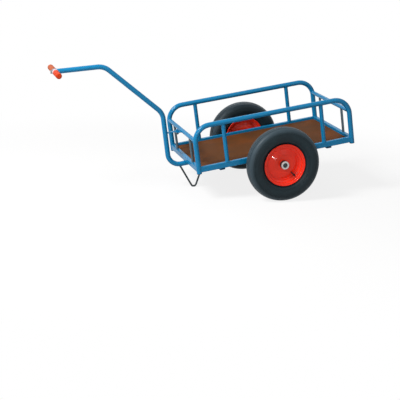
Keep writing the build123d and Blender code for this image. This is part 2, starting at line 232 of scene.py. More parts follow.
def setStage(shape):
    world = bpy.data.worlds.new("studio")
    world.use_nodes = True
    scene.world = world
    paint = Paint(world.node_tree)
    dim = paint.node("ShaderNodeBackground", {}, {"Color": (1, 1, 1, 1), "Strength": shape["fill"]})
    white = paint.node("ShaderNodeBackground", {}, {"Color": (1, 1, 1, 1), "Strength": 1.0})
    both = paint.node("ShaderNodeMixShader", {}, {0: seenDirectly(paint), 1: dim, 2: white})
    paint.node("ShaderNodeOutputWorld", {}, {"Surface": both})

    bpy.ops.mesh.primitive_circle_add(
        vertices=shape["floorSides"], radius=shape["floorRadius"], fill_type="NGON")
    floor = bpy.context.object
    floor.name = "floor"
    material, paint = newPaint("floorPaper")
    reach = paint.length(paint.place())
    far = paint.ramp(reach, shape["fadeStart"], shape["fadeEnd"], shape["floorGlow"], 1.0)
    pale = paint.node("ShaderNodeBsdfDiffuse", {}, {"Color": shape["floorColour"]})
    glow = paint.node("ShaderNodeEmission", {}, {"Color": (1, 1, 1, 1), "Strength": 1.0})
    seen = paint.node("ShaderNodeMixShader", {}, {0: far, 1: pale, 2: glow})
    bounce = paint.node("ShaderNodeBsdfDiffuse", {}, {"Color": shape["floorBounce"]})
    both = paint.node("ShaderNodeMixShader", {}, {0: seenDirectly(paint), 1: bounce, 2: seen})
    paint.node("ShaderNodeOutputMaterial", {}, {"Surface": both})
    floor.data.materials.append(material)

    for place, size, watts in shape["lamps"]:
        bpy.ops.object.light_add(type="AREA", location=place)
        lamp = bpy.context.object
        lamp.data.size = size
        lamp.data.energy = watts
        aim = Vector(shape["lampAim"]) - Vector(place)
        lamp.rotation_euler = aim.to_track_quat("-Z", "Y").to_euler()


setStage(stage)
print("stage set")


# Finishes
wheelLow, wheelHigh = (Vector(corner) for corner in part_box("tyre_left"))
wheelCentre = (wheelLow + wheelHigh) / 2
fromAxle = (-wheelCentre.x, 0, -wheelCentre.z)     # brings the wheels' axis on to the y axis

bluePaintLook = {
    "colours": (rgb(6, 114, 161), rgb(10, 122, 171)),
    "cloudScale": 4.0,
    "peelScale": 900.0,
    "rough": 0.36,
    "specular": 0.05,
    "coat": 0.35,
    "coatRough": 0.14,
    "scuffColour": rgb(84, 156, 198),
    "scuffStretch": (60, 60, 900),
    "scuffRange": (0.68, 0.78),
    "scuffShare": 0.06,
    "scuffRough": 0.1,
}
redPaintLook = {
    "colours": (rgb(240, 45, 20), rgb(250, 54, 25)),
    "cloudScale": 6.0,
    "peelScale": 800.0,
    "rough": 0.3,
    "specular": 0.1,
    "coat": 0.35,
    "coatRough": 0.07,
}
peelLook = {"rough": 0.06, "depth": 0.00003, "strength": 0.15}    # the orange peel of both paints


def glossPaint(name, look):
    material, paint = newPaint(name)
    spot = paint.place()
    cloud = paint.noise(spot, look["cloudScale"], 2.0)
    peel = paint.noise(spot, look["peelScale"], 2.0)
    colour = paint.mix(cloud, *look["colours"])
    rough = look["rough"] + peel * peelLook["rough"]
    if "scuffColour" in look:
        streaks = paint.noise(paint.place(scale=look["scuffStretch"]), 1.0, 4.0, 0.7)
        scuff = paint.ramp(streaks, *look["scuffRange"])
        colour = paint.mix(scuff * look["scuffShare"], colour, look["scuffColour"])
        rough = rough + scuff * look["scuffRough"]
    paint.surface({
        "Base Color": colour,
        "Roughness": rough,
        "Specular IOR Level": look["specular"],
        "Coat Weight": look["coat"],
        "Coat Roughness": look["coatRough"],
        "Normal": paint.bump(peel, peelLook["depth"], peelLook["strength"]),
    })
    return material


rubberLook = {
    "colours": (rgb(14, 30, 36), rgb(24, 41, 47)),
    "cloudScale": 14.0,
    "bloomRange": (0.42, 0.75),
    "bloomRough": 0.12,
    "treadGreyColour": rgb(54, 68, 76),
    "treadGreyRange": (0.168, 0.192),                   # radii: the tread and its shoulders are greyer
    "treadGreyShare": (0.6, 0.6),                       # the least, and what the clouds add
    "grainScale": 1600.0,
    "grainRough": 0.08,
    "grainDepth": 0.00015,
    "grainStrength": 0.4,
    "rough": 0.4,
    "specular": 0.22,
}


def tyreRubber(look):
    material, paint = newPaint("tyreRubber")
    spot = paint.place()
    cloud = paint.noise(spot, look["cloudScale"], 4.0, 0.6)
    grain = paint.noise(spot, look["grainScale"], 2.0)
    bloom = paint.ramp(cloud, *look["bloomRange"])
    colour = paint.mix(bloom, *look["colours"])
    reach = paint.reach(paint.place(move=fromAxle))
    least, more = look["treadGreyShare"]
    # the tread and its shoulders are made lighter grey than the sidewalls, all round
    treadGrey = paint.ramp(reach, *look["treadGreyRange"]) * (least + cloud * more)
    paint.surface({
        "Base Color": paint.mix(treadGrey, colour, look["treadGreyColour"]),
        "Roughness": look["rough"] + bloom * look["bloomRough"] + grain * look["grainRough"],
        "Specular IOR Level": look["specular"],
        "Normal": paint.bump(grain, look["grainDepth"], look["grainStrength"]),
    })
    return material


plateLook = {
    "zincPlate": (rgb(128, 132, 136), rgb(148, 150, 150)),
    "rodShadedPlate": (rgb(74, 90, 99), rgb(90, 105, 113)),    # painted shade: the end rods' plating darkened to their shaded look
    "cloudScale": 60.0,
    "cloudRough": 0.06,
    "brushStretch": (300, 300, 2400),
    "brushRough": 0.14,
    "brushDepth": 0.00006,
    "brushStrength": 0.3,
    "rough": 0.32,
    "metal": 0.4,
    "specular": 0.3,
}


def plating(name, look):
    material, paint = newPaint(name)
    cloud = paint.noise(paint.place(), look["cloudScale"], 3.0)
    brush = paint.noise(paint.place(scale=look["brushStretch"]), 1.0, 3.0)
    paint.surface({
        "Base Color": paint.mix(cloud, *look[name]),
        "Metallic": look["metal"],
        "Roughness": look["rough"] + brush * look["brushRough"] + cloud * look["cloudRough"],
        "Specular IOR Level": look["specular"],
        "Normal": paint.bump(brush, look["brushDepth"], look["brushStrength"]),
    })
    return material


hubLook = {
    "face": (rgb(198, 193, 192), rgb(214, 207, 204)),    # the turned ends
    "barrelShade": (rgb(46, 30, 28), rgb(62, 36, 32)),        # painted shade: round the outside and in the bore, dark red-brown as in shadow
    "faceRange": (0.5, 0.8),                       # how squarely a face looks along the axle
    "boreEdge": 0.0006,
    "cloudScale": 90.0,
    "cloudRough": 0.06,
    "turning": 0.0004,                             # half the pitch of the tool's marks
    "turningRough": 0.08,
    "turningDepth": 0.00005,
    "turningStrength": 0.3,
    "rough": 0.42,
    "metal": 0.2,
    "specular": 0.2,
}


def hubSteel(look, bore):
    material, paint = newPaint("hubSteel")
    spot = paint.place(move=fromAxle)
    reach = paint.reach(spot)
    turned = paint.waves(reach, look["turning"])
    cloud = paint.noise(spot, look["cloudScale"], 3.0)
    facing = paint.axis(paint.size(paint.normal()), "Y")
    face = paint.ramp(facing, *look["faceRange"]) * paint.ramp(reach, bore, bore + look["boreEdge"])
    bright = paint.mix(cloud, *look["face"])
    # painted shade on the barrel; the turned ends keep their bright colour
    shadedBarrel = paint.mix(cloud, *look["barrelShade"])
    paint.surface({
        "Base Color": paint.mix(face, shadedBarrel, bright),
        "Metallic": face * look["metal"],
        "Roughness": look["rough"] + turned * look["turningRough"] + cloud * look["cloudRough"],
        "Specular IOR Level": look["specular"],
        "Normal": paint.bump(turned, look["turningDepth"], look["turningStrength"]),
    })
    return material


boardLook = {
    "film": (rgb(82, 50, 28), rgb(98, 62, 35)),
    "warmColour": rgb(108, 62, 31),
    "warmScale": 5.0,
    "warmRange": (0.4, 0.7),
    "dullColour": rgb(78, 53, 37),
    "dullScale": 11.0,
    "dullRange": (0.45, 0.9),
    "fibreSize": (0.02, 0.0016, 0.02),
    "fibreRough": 0.1,
    "fibreDepth": 0.0001,
    "fibreStrength": 0.4,
    "wood": (rgb(150, 108, 68), rgb(112, 74, 44)),
    "ply": 0.0015,
    "edgeRange": (0.4, 0.55),                      # faces that look less upward than this are sawn edges
    "edgeRough": 0.25,
    "rough": 0.55,
    "specular": 0.02,
}


def filmBoard(look):
    material, paint = newPaint("filmBoard")
    turn = tuple(bedTurn)
    spot = paint.place(turn=turn, kind="TEXTURE")
    grain = paint.place(scale=look["fibreSize"], turn=turn, kind="TEXTURE")
    fibre = paint.noise(grain, 1.0, 4.0, 0.6)
    warm = paint.ramp(paint.noise(spot, look["warmScale"], 3.0), *look["warmRange"])
    dull = paint.ramp(paint.noise(spot, look["dullScale"], 3.0), *look["dullRange"])
    onBed = paint.place(turn=turn, move=tuple(bedMatrix.translation), kind="TEXTURE")
    plies = paint.waves(paint.axis(onBed, "Z"), look["ply"])
    level = paint.node("ShaderNodeVectorRotate", {"rotation_type": "EULER_XYZ", "invert": True},
                       {"Vector": paint.normal(), "Rotation": turn})
    edge = 1 - paint.ramp(paint.axis(paint.size(level), "Z"), *look["edgeRange"])
    film = paint.mix(fibre, *look["film"])
    film = paint.mix(warm, film, look["warmColour"])
    film = paint.mix(dull, film, look["dullColour"])
    paint.surface({
        "Base Color": paint.mix(edge, film, paint.mix(plies, *look["wood"])),
        "Roughness": look["rough"] + fibre * look["fibreRough"] + edge * look["edgeRough"],
        "Specular IOR Level": look["specular"],
        "Normal": paint.bump(fibre, look["fibreDepth"], look["fibreStrength"]),
    })
    return material


steelLook = {
    "colours": (rgb(46, 55, 57), rgb(66, 74, 76)),
    "cloudScale": 40.0,
    "drawnStretch": (900, 200, 900),
    "drawnRough": 0.16,
    "drawnDepth": 0.0001,
    "drawnStrength": 0.4,
    "rough": 0.4,
    "metal": 0.4,
    "specular": 0.2,
}


def darkSteel(look):
    material, paint = newPaint("darkSteel")
    cloud = paint.noise(paint.place(), look["cloudScale"], 4.0, 0.6)
    drawn = paint.noise(paint.place(scale=look["drawnStretch"]), 1.0, 3.0)
    paint.surface({
        "Base Color": paint.mix(cloud, *look["colours"]),
        "Metallic": look["metal"],
        "Roughness": look["rough"] + drawn * look["drawnRough"],
        "Specular IOR Level": look["specular"],
        "Normal": paint.bump(drawn, look["drawnDepth"], look["drawnStrength"]),
    })
    return material


gripLook = {
    "colours": (rgb(180, 50, 14), rgb(196, 62, 20)),
    "cloudScale": 20.0,
    "farGripLitColour": rgb(168, 82, 45),               # painted light: the far grip paler and tan, as where it is lit
    "farGripLitRange": (-0.04, 0.02),
    "ringHighlightColour": rgb(204, 172, 176),            # painted highlight: a pale band by the ring, mostly on the near grip
    "ringHighlightNear": (0.039, 0.043),
    "ringHighlightFar": (-0.011, -0.008),
    "grainScale": 1500.0,
    "grainRough": 0.1,
    "grainDepth": 0.00006,
    "grainStrength": 0.25,
    "rough": 0.45,
    "specular": 0.12,
}


def redPlastic(look):
    material, paint = newPaint("redPlastic")
    spot = paint.place()
    cloud = paint.noise(spot, look["cloudScale"], 2.0)
    grain = paint.noise(spot, look["grainScale"], 2.0)
    across = paint.axis(spot, "Y")
    # painted light: paler tan on the far grip
    farGripLit = 1 - paint.ramp(across, *look["farGripLitRange"])
    # painted highlight: a pale pinkish band from the ring on to the near grip
    collar = (1 - paint.ramp(across, *look["ringHighlightNear"])) * paint.ramp(across, *look["ringHighlightFar"])
    colour = paint.mix(cloud, *look["colours"])
    colour = paint.mix(farGripLit, colour, look["farGripLitColour"])
    paint.surface({
        "Base Color": paint.mix(collar, colour, look["ringHighlightColour"]),
        "Roughness": look["rough"] + grain * look["grainRough"],
        "Specular IOR Level": look["specular"],
        "Normal": paint.bump(grain, look["grainDepth"], look["grainStrength"]),
    })
    return material


mouldLook = {
    "blackPlastic": (1200.0, 0.42),                # scale of the grain, roughness
    "blackRubber": (2200.0, 0.55),
    "colours": (rgb(22, 24, 26), rgb(36, 38, 41)),
    "cloudScale": 50.0,
    "grainRough": 0.14,
    "grainDepth": 0.00012,
    "grainStrength": 0.4,
    "specular": 0.25,
}


def blackMoulding(name, look):
    material, paint = newPaint(name)
    scale, rough = look[name]
    spot = paint.place()
    cloud = paint.noise(spot, look["cloudScale"], 3.0)
    grain = paint.noise(spot, scale, 2.0)
    paint.surface({
        "Base Color": paint.mix(cloud, *look["colours"]),
        "Roughness": rough + grain * look["grainRough"],
        "Specular IOR Level": look["specular"],
        "Normal": paint.bump(grain, look["grainDepth"], look["grainStrength"]),
    })
    return material


finishes = {
    "blue_paint": glossPaint("bluePaint", bluePaintLook),
    "red_paint": glossPaint("redPaint", redPaintLook),
    "tyre_rubber": tyreRubber(rubberLook),
    "zinc_plate": plating("zincPlate", plateLook),
    "film_board": filmBoard(boardLook),
    "dark_steel": darkSteel(steelLook),
    "red_plastic": redPlastic(gripLook),
    "black_plastic": blackMoulding("blackPlastic", mouldLook),
    "black_rubber": blackMoulding("blackRubber", mouldLook),
}
# a darker copy of the plating for the end rods, as painted shade and painted dark reflection
rodShadedPlate = plating("rodShadedPlate", plateLook)
for row in frame["record"]["subparts"]:
    isRod = row["node"].startswith("end_rod")
    nodes[row["node"]].data.materials.clear()
    nodes[row["node"]].data.materials.append(rodShadedPlate if isRod else finishes[row["material_slot"]])


# Modelling helpers
def pick(piece):
    bpy.ops.object.select_all(action="DESELECT")
    piece.select_set(True)
    bpy.context.view_layer.objects.active = piece


def lathe(name, profile, centre, axis, out, steps):    # profile: (along the axis, radius), spun
    place = [centre + axis * along + out * radius for along, radius in profile]
    bpy.ops.object.select_all(action="DESELECT")
    bpy.ops.mesh.primitive_plane_add(size=0.001, location=place[0])
    piece = bpy.context.object
    piece.name = name
    bpy.ops.object.transform_apply(location=True)
    bpy.ops.object.mode_set(mode="EDIT")
    bpy.ops.mesh.merge(type="CENTER")
    for start, stop in zip(place, place[1:]):
        bpy.ops.mesh.extrude_region_move(TRANSFORM_OT_translate={"value": stop - start})
    bpy.ops.mesh.select_all(action="SELECT")
    bpy.ops.mesh.spin(steps=steps, angle=2 * pi, center=centre, axis=axis)
    bpy.ops.mesh.select_all(action="SELECT")
    bpy.ops.mesh.remove_doubles(threshold=0.00001)
    bpy.ops.mesh.normals_make_consistent(inside=False)
    bpy.ops.object.mode_set(mode="OBJECT")
    return piece


def circleThrough(first, middle, last):                # centre and radius
    (ax, ay), (bx, by), (cx, cy) = first, middle, last
    spread = 2 * (ax * (by - cy) + bx * (cy - ay) + cx * (ay - by))
    aa, bb, cc = ax * ax + ay * ay, bx * bx + by * by, cx * cx + cy * cy
    x = (aa * (by - cy) + bb * (cy - ay) + cc * (ay - by)) / spread
    y = (aa * (cx - bx) + bb * (ax - cx) + cc * (bx - ax)) / spread
    return x, y, hypot(ax - x, ay - y)


def rounded(points, radius, count):                    # a run of points with its corners made arcs
    line = [points[0]]
    for before, corner, after in zip(points, points[1:], points[2:]):
        corner = Vector(corner)
        back = (Vector(before) - corner).normalized()
        ahead = (Vector(after) - corner).normalized()
        half = back.angle(ahead) / 2
        centre = corner + (back + ahead).normalized() * (radius / sin(half))
        start = corner + back * (radius / tan(half)) - centre
        stop = corner + ahead * (radius / tan(half)) - centre
        for i in range(count):
            share = start.lerp(stop, i / (count - 1)).normalized() * radius
            line.append(tuple(centre + share))
    return line + [points[-1]]


def thicken(piece, thickness):
    pick(piece)
    wall = piece.modifiers.new("wall", "SOLIDIFY")
    wall.thickness = thickness
    wall.offset = 0.0
    bpy.ops.object.modifier_apply(modifier=wall.name)


def joinAll(pieces, name):
    bpy.ops.object.select_all(action="DESELECT")
    for piece in pieces:
        piece.select_set(True)
    bpy.context.view_layer.objects.active = pieces[0]
    bpy.ops.object.join()
    pieces[0].name = name
    return pieces[0]


def mirrored(piece, name):                             # the same piece on the cart's other side
    pick(piece)
    bpy.ops.object.duplicate()
    copy = bpy.context.object
    copy.name = name
    bpy.ops.object.mode_set(mode="EDIT")
    bpy.ops.mesh.select_all(action="SELECT")
    bpy.ops.transform.resize(value=(1, -1, 1), center_override=(0, 0, 0))
    bpy.ops.mesh.flip_normals()
    bpy.ops.object.mode_set(mode="OBJECT")
    return copy


def dress(piece, body, slot, replaced=None, angle=40):
    pick(piece)
    piece.data.materials.clear()
    piece.data.materials.append(finishes[slot])
    bpy.ops.object.shade_smooth_by_angle(angle=radians(angle))
    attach(piece, body)
    if replaced:
        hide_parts(replaced)


# Wheels: modelled on the left and mirrored to the right
axleWay = Vector((0, 1, 0))
upWay = Vector((0, 0, 1))


def bothSides(piece, name, slot, replaced):
    twin = mirrored(piece, name + "Right")
    dress(piece, "wheel_left", slot, replaced + "_left")
    dress(twin, "wheel_right", slot, replaced + "_right")
    return piece, twin


tyreShape = {
    "radius": 0.2,
    "crown": 0.0765,                                   # radius of the tread's own curve
    "treadHalf": 0.036,
    "side": [(0.036, 0.191), (0.049, 0.1575), (0.032, 0.119)],
    "sideSteps": 24,
    "bead": [(0.0292, 0.115), (0.0292, 0.1058), (0.0252, 0.1018)],
    "grooves": (0.007, 0.021),                         # grooves round the tread, out from its middle
    "grooveWidth": 0.004,
    "grooveFloor": 0.6,                                # width at the bottom, as a share
    "grooveDepth": 0.0045,
    "rings": (0.1785, 0.174, 0.1695, 0.139, 0.135, 0.131),    # radii of the fine rings on the sides
    "ringHeight": 0.0009,
    "ringWidth": 0.0024,
    "ringProfile": [(0.5, 0.0), (0.28, 1.0), (-0.28, 1.0), (-0.5, 0.0)],    # shares of width and height
    "ringClear": 0.7,                                  # no other point nearer, in ring widths
    "steps": 240,
    "notchEvery": 3,
    "notchDepth": 0.0022,
    "notchFrom": 0.181,                                # the shoulder is notched from this radius out
    "notchInner": 0.88,                                # and from this share of the tread's half width
}


def tyreHalf(shape):                                   # from the middle of the tread out to the bead
    def crown(along):
        return shape["radius"] - shape["crown"] + sqrt(shape["crown"] ** 2 - along ** 2)

    half = shape["grooveWidth"] / 2
    low = half * shape["grooveFloor"]
    line = []
    for groove in shape["grooves"]:
        start = line[-1][0] if line else 0.0
        floor = crown(groove) - shape["grooveDepth"]
        for along in ((start + groove - half) / 2, groove - half):
            line.append((along, crown(along)))
        line += [(groove - low, floor), (groove + low, floor)]
        line.append((groove + half, crown(groove + half)))
    along = (line[-1][0] + shape["treadHalf"]) / 2
    line.append((along, crown(along)))

    x, y, radius = circleThrough(*shape["side"])
    start, stop = (atan2(spot[1] - y, spot[0] - x) for spot in (shape["side"][0], shape["side"][-1]))
    width = shape["ringWidth"] / radius
    clear = width * shape["ringClear"]
    steps = shape["sideSteps"]
    rings = [asin((ring - y) / radius) for ring in shape["rings"]]
    wall = [(start + (stop - start) * i / steps, 0.0) for i in range(steps + 1)]
    wall = [spot for spot in wall if all(abs(spot[0] - ring) > clear for ring in rings)]
    for ring in rings:
        for shift, lift in shape["ringProfile"]:
            wall.append((ring + width * shift, shape["ringHeight"] * lift))
    for angle, lift in sorted(wall, reverse=True):
        line.append((x + (radius + lift) * cos(angle), y + (radius + lift) * sin(angle)))
    return line + shape["bead"]


def makeTyre(shape):
    half = tyreHalf(shape)
    profile = [(-along, radius) for along, radius in reversed(half)] + half
    piece = lathe("tyreLeft", profile + [profile[0]], wheelCentre, axleWay, upWay, shape["steps"])
    step = 2 * pi / shape["steps"]
    for face in piece.data.polygons:                   # notches across both shoulders
        spot = face.center - wheelCentre
        reach = hypot(spot.x, spot.z)
        turn = int((atan2(spot.x, spot.z) + pi) / step)
        onShoulder = reach > shape["notchFrom"] and abs(spot.y) > shape["treadHalf"] * shape["notchInner"]
        face.select = onShoulder and turn % shape["notchEvery"] == 0
    pick(piece)
    bpy.ops.object.mode_set(mode="EDIT")
    bpy.ops.mesh.select_mode(type="FACE")
    bpy.ops.mesh.extrude_region_shrink_fatten(TRANSFORM_OT_shrink_fatten={"value": -shape["notchDepth"]})
    bpy.ops.mesh.select_mode(type="VERT")
    bpy.ops.object.mode_set(mode="OBJECT")
    return piece


bothSides(makeTyre(tyreShape), "tyre", "tyre_rubber", "tyre")
print("tyres made")

rimShape = {
    "sheet": 0.0026,
    "well": [(0.0127, 0.0877), (0.0167, 0.1003), (0.0307, 0.1003), (0.0315, 0.1098)],
    "fold": 0.004,
    "curlCentre": (0.0346, 0.1098),
    "curlRadius": 0.0031,
    "curlTurn": 165.0,
    "curlSteps": 10,
    "disc": [(0.011, 0.0234), (0.011, 0.052), (0.003, 0.078), (0.003, 0.0877)],
    "discFold": 0.006,
    "foldSteps": 6,
    "steps": 144,
}


def makeRim(shape):
    outer = rounded([(0.0, shape["well"][0][1])] + shape["well"], shape["fold"], shape["foldSteps"])[1:]
    x, y = shape["curlCentre"]
    for i in range(shape["curlSteps"]):                # the flange's edge rolls over outwards
        angle = pi - radians(shape["curlTurn"]) * (i + 1) / shape["curlSteps"]
        outer.append((x + shape["curlRadius"] * cos(angle), y + shape["curlRadius"] * sin(angle)))
    channel = [(-along, radius) for along, radius in reversed(outer)] + outer
    pieces = [lathe("rimLeft", channel, wheelCentre, axleWay, upWay, shape["steps"])]
    disc = rounded(shape["disc"], shape["discFold"], shape["foldSteps"])
    for side in (1, -1):                               # two pressed discs that spread towards the hub
        face = [(along * side, radius) for along, radius in disc]
        pieces.append(lathe("discLeft", face, wheelCentre, axleWay, upWay, shape["steps"]))
    for piece in pieces:
        thicken(piece, shape["sheet"])
    return joinAll(pieces, "rimLeft")


bothSides(makeRim(rimShape), "rim", "red_paint", "rim")

hubShape = {
    "half": 0.04,
    "radius": 0.022,
    "bore": 0.01005,
    "sink": 0.006,                                     # counterbore at the outer end
    "sinkRadius": 0.0123,
    "edge": 0.0012,
    "steps": 72,
}


def makeHub(shape):
    half, edge = shape["half"], shape["edge"]
    profile = [
        (-half, shape["bore"]),
        (-half, shape["radius"] - edge),
        (-half + edge, shape["radius"]),
        (half - edge, shape["radius"]),
        (half, shape["radius"] - edge),
        (half, shape["sinkRadius"] + edge / 2),
        (half - edge / 2, shape["sinkRadius"]),
        (half - shape["sink"], shape["sinkRadius"]),
        (half - shape["sink"], shape["bore"]),
        (-half, shape["bore"]),
    ]
    return lathe("hubLeft", profile, wheelCentre, axleWay, upWay, shape["steps"])


hubFinish = hubSteel(hubLook, hubShape["sinkRadius"])
for piece in bothSides(makeHub(hubShape), "hub", "zinc_plate", "hub"):
    piece.data.materials[0] = hubFinish

valveShape = {
    "angle": 225.0,                                    # round the wheel, from its front upwards
    "seat": 0.0862,
    "profile": [(-0.008, 0.0), (-0.008, 0.0045), (0.003, 0.0045), (0.005, 0.0038), (0.0115, 0.0034),
                (0.013, 0.0038), (0.0138, 0.0028), (0.0146, 0.0028), (0.0146, 0.0035), (0.0222, 0.0035),
                (0.0236, 0.0028), (0.024, 0.0015), (0.024, 0.0)],
    "steps": 24,
    "capFrom": 0.0148,
    "capTo": 0.023,
    "capLeast": 0.003,                                 # only what lies further out is fluted
    "flute": 0.0003,
}


def makeValve(shape):
    turn = radians(shape["angle"])
    out = Vector((cos(turn), 0, sin(turn)))
    low, high = (Vector(corner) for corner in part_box("valve_left"))
    seat = Vector((wheelCentre.x, (low.y + high.y) / 2, wheelCentre.z)) + out * shape["seat"]
    piece = lathe("valveLeft", shape["profile"], seat, -out, axleWay, shape["steps"])
    for vertex in piece.data.vertices:                 # flutes along the dust cap
        along = (vertex.co - seat).dot(-out)
        spoke = vertex.co - seat + out * along
        if shape["capFrom"] < along < shape["capTo"] and spoke.length > shape["capLeast"]:
            flute = round(axleWay.angle(spoke) / (2 * pi) * shape["steps"]) % 2
            vertex.co -= spoke.normalized() * shape["flute"] * flute
    return piece


bothSides(makeValve(valveShape), "valve", "black_rubber", "valve")
print("rims, hubs and valves made")

# Handle: grips and middle ring
ringLow, ringHigh = (Vector(corner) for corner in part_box("handle_ring"))
handleCentre = (ringLow + ringHigh) / 2
gripShape = {
    "start": (ringHigh.y - ringLow.y) / 2,
    "length": 0.1265,
    "radius": 0.0158,
    "seatGap": 0.0002,
    "collar": 0.0165,
    "collarWidth": 0.006,
    "collarEdge": 0.001,
    "bore": 0.0111,
    "endWall": 0.004,
    "dome": 0.007,                                     # length of the rounded end
    "domeDrop": 0.006,
    "domeSteps": 8,
    "rings": 11,
    "ringStart": 0.016,
    "ringPitch": 0.0085,
    "ringDepth": 0.0009,
    "ringProfile": [(-0.0014, 0.0), (-0.0007, 0.8), (0.0, 1.0), (0.0007, 0.8), (0.0014, 0.0)],
    "steps": 64,
}


def makeGrip(shape):
    start, radius, length = shape["start"], shape["radius"], shape["length"]
    seat, collar, edge = start + shape["seatGap"], shape["collar"], shape["collarEdge"]
    shoulder = start + shape["collarWidth"]
    profile = [(seat, shape["bore"]), (seat, collar - edge), (seat + edge, collar)]
    profile += [(shoulder - edge, collar), (shoulder, radius)]
    for i in range(shape["rings"]):
        groove = start + shape["ringStart"] + i * shape["ringPitch"]
        for shift, drop in shape["ringProfile"]:
            profile.append((groove + shift, radius - shape["ringDepth"] * drop))
    for i in range(shape["domeSteps"] + 1):
        turn = pi / 2 * i / shape["domeSteps"]
        along = start + length - shape["dome"] * (1 - sin(turn))
        profile.append((along, radius - shape["domeDrop"] * (1 - cos(turn))))
    profile += [(start + length, 0.0)]
    inner = start + length - shape["endWall"]
    profile += [(inner, 0.0), (inner, shape["bore"]), profile[0]]
    return lathe("gripLeft", profile, handleCentre, axleWay, upWay, shape["steps"])


grip = makeGrip(gripShape)
gripTwin = mirrored(grip, "gripRight")
dress(grip, "frame", "red_plastic", "grip_left")
dress(gripTwin, "frame", "red_plastic", "grip_right")

ringShape = {
    "outer": 0.015,
    "inner": 0.0111,
    "half": (ringHigh.y - ringLow.y) / 2,
    "edge": 0.0016,
    "edgeSteps": 5,
    "steps": 64,
}


def makeRing(shape):
    half, outer, inner, edge = (shape[key] for key in ("half", "outer", "inner", "edge"))
    corners = [(-half, inner), (-half, outer), (half, outer), (half, inner)]
    profile = rounded(corners, edge, shape["edgeSteps"])
    return lathe("handleRing", profile + [profile[0]], handleCentre, axleWay, upWay, shape["steps"])


handleRing = makeRing(ringShape)
dress(handleRing, "frame", "zinc_plate", "handle_ring")
print("handle made")

# Bolts: one through the handle, one through the strut and its lug
railLine = -0.003                                      # the rails' axis, below the deck's top
handleWay = Vector((0.99766, 0, 0.0684))               # the drawbar's last run, in the bed's directions


def atRails(x, y, z):
    return bedPoint(x, y, z + railLine)


def alongBed(way):
    return (bedMatrix.to_3x3() @ Vector(way)).normalized()


boltShape = {
    "handle": {"start": 0.0138, "flats": 0.016, "head": 0.006, "washer": (0.0098, 0.002), "bore": 0.005},
    "strut": {"place": (0.46, 0.0), "top": 0.1605, "under": 0.1505, "flats": 0.013, "head": 0.0053,
              "nut": 0.0065, "washer": (0.008, 0.0016), "bore": 0.004, "tail": 0.0035,
              "pitch": 0.00125, "threadDepth": 0.4, "tip": 0.7},
    "chamfer": 0.14,                                   # share of the flats taken off the head's corners
    "washerEdge": 0.2,                                 # share of its height
    "edge": 0.0004,
    "steps": 32,
}


def hexagon(name, centre, way, flats, height, shape):
    turn = way.to_track_quat("Z", "Y").to_euler()
    bpy.ops.object.select_all(action="DESELECT")
    bpy.ops.mesh.primitive_cylinder_add(vertices=6, radius=flats / sqrt(3), depth=height,
                                        location=centre + way * height / 2, rotation=turn)
    piece = bpy.context.object
    piece.name = name
    bpy.ops.object.transform_apply(location=True, rotation=True, scale=True)
    bpy.ops.object.mode_set(mode="EDIT")
    bpy.ops.mesh.select_all(action="SELECT")
    bpy.ops.mesh.bevel(offset=shape["edge"], segments=2, affect="EDGES")
    bpy.ops.object.mode_set(mode="OBJECT")
    ends = [face for face in piece.data.polygons if len(face.vertices) == 6]
    top = max(ends, key=lambda face: (face.center - centre).dot(way))
    for face in piece.data.polygons:
        face.select = face.index == top.index
    bpy.ops.object.mode_set(mode="EDIT")
    bpy.ops.mesh.select_mode(type="FACE")
    bpy.ops.mesh.inset(thickness=flats * shape["chamfer"])
    bpy.ops.transform.translate(value=way * shape["edge"])
    bpy.ops.mesh.select_mode(type="VERT")
    bpy.ops.object.mode_set(mode="OBJECT")
    return piece


def washer(centre, way, size, bore, shape):
    radius, height = size
    edge = height * shape["washerEdge"]
    profile = [(0.0, bore), (0.0, radius), (height - edge, radius), (height, radius - edge)]
    profile += [(height, bore), (0.0, bore)]
    return lathe("washer", profile, centre, way, way.orthogonal().normalized(), shape["steps"])


def makeBolts(shape):
    part = shape["handle"]
    way = alongBed(handleWay)
    start = handleCentre + way * part["start"]
    handle = [washer(start, way, part["washer"], part["bore"], shape)]
    handle.append(hexagon("head", start + way * part["washer"][1], way, part["flats"], part["head"], shape))
    part = shape["strut"]
    x, y = part["place"]
    up = alongBed((0, 0, 1))
    ends = []
    for side, level, height in ((1, part["top"], part["head"]), (-1, part["under"], part["nut"])):
        start = atRails(x, y, level)
        way = up * side
        ends.append([washer(start, way, part["washer"], part["bore"], shape)])
        ends[-1].append(hexagon("head", start + way * part["washer"][1], way, part["flats"], height, shape))
    tail = part["washer"][1] + part["nut"]
    pitch, depth = part["pitch"], part["pitch"] * part["threadDepth"]
    thread = [(tail, 0.0), (tail, part["bore"])]
    for i in range(round(part["tail"] / pitch * 2)):
        thread.append((tail + pitch * (i + 1) / 2, part["bore"] - depth * (i % 2)))
    thread.append((thread[-1][0] + depth, part["bore"] * part["tip"]))
    thread.append((thread[-1][0], 0.0))
    ends[1].append(lathe("thread", thread, start, way, way.orthogonal().normalized(), shape["steps"]))
    return joinAll(handle, "handleBolt"), joinAll(ends[0], "strutHead"), joinAll(ends[1], "strutNut")


handleBolt, strutHead, strutNut = makeBolts(boltShape)
dress(handleBolt, "frame", "zinc_plate", angle=30)
dress(strutHead, "frame", "blue_paint", angle=30)      # painted over with the frame
dress(strutNut, "frame", "dark_steel", angle=30)
print("bolts made")

# Weld beads where the tubes meet
beadShape = {
    "radius": 0.0017,
    "pitch": 0.0016,
    "ripple": 0.16,
    "wave": 2.1,                                       # radians of ripple from point to point
    "sides": 2,
    "loopPoints": 6,                                   # at least so many round a loop, and along a line
    "linePoints": 4,
    "castBack": 0.03,
}


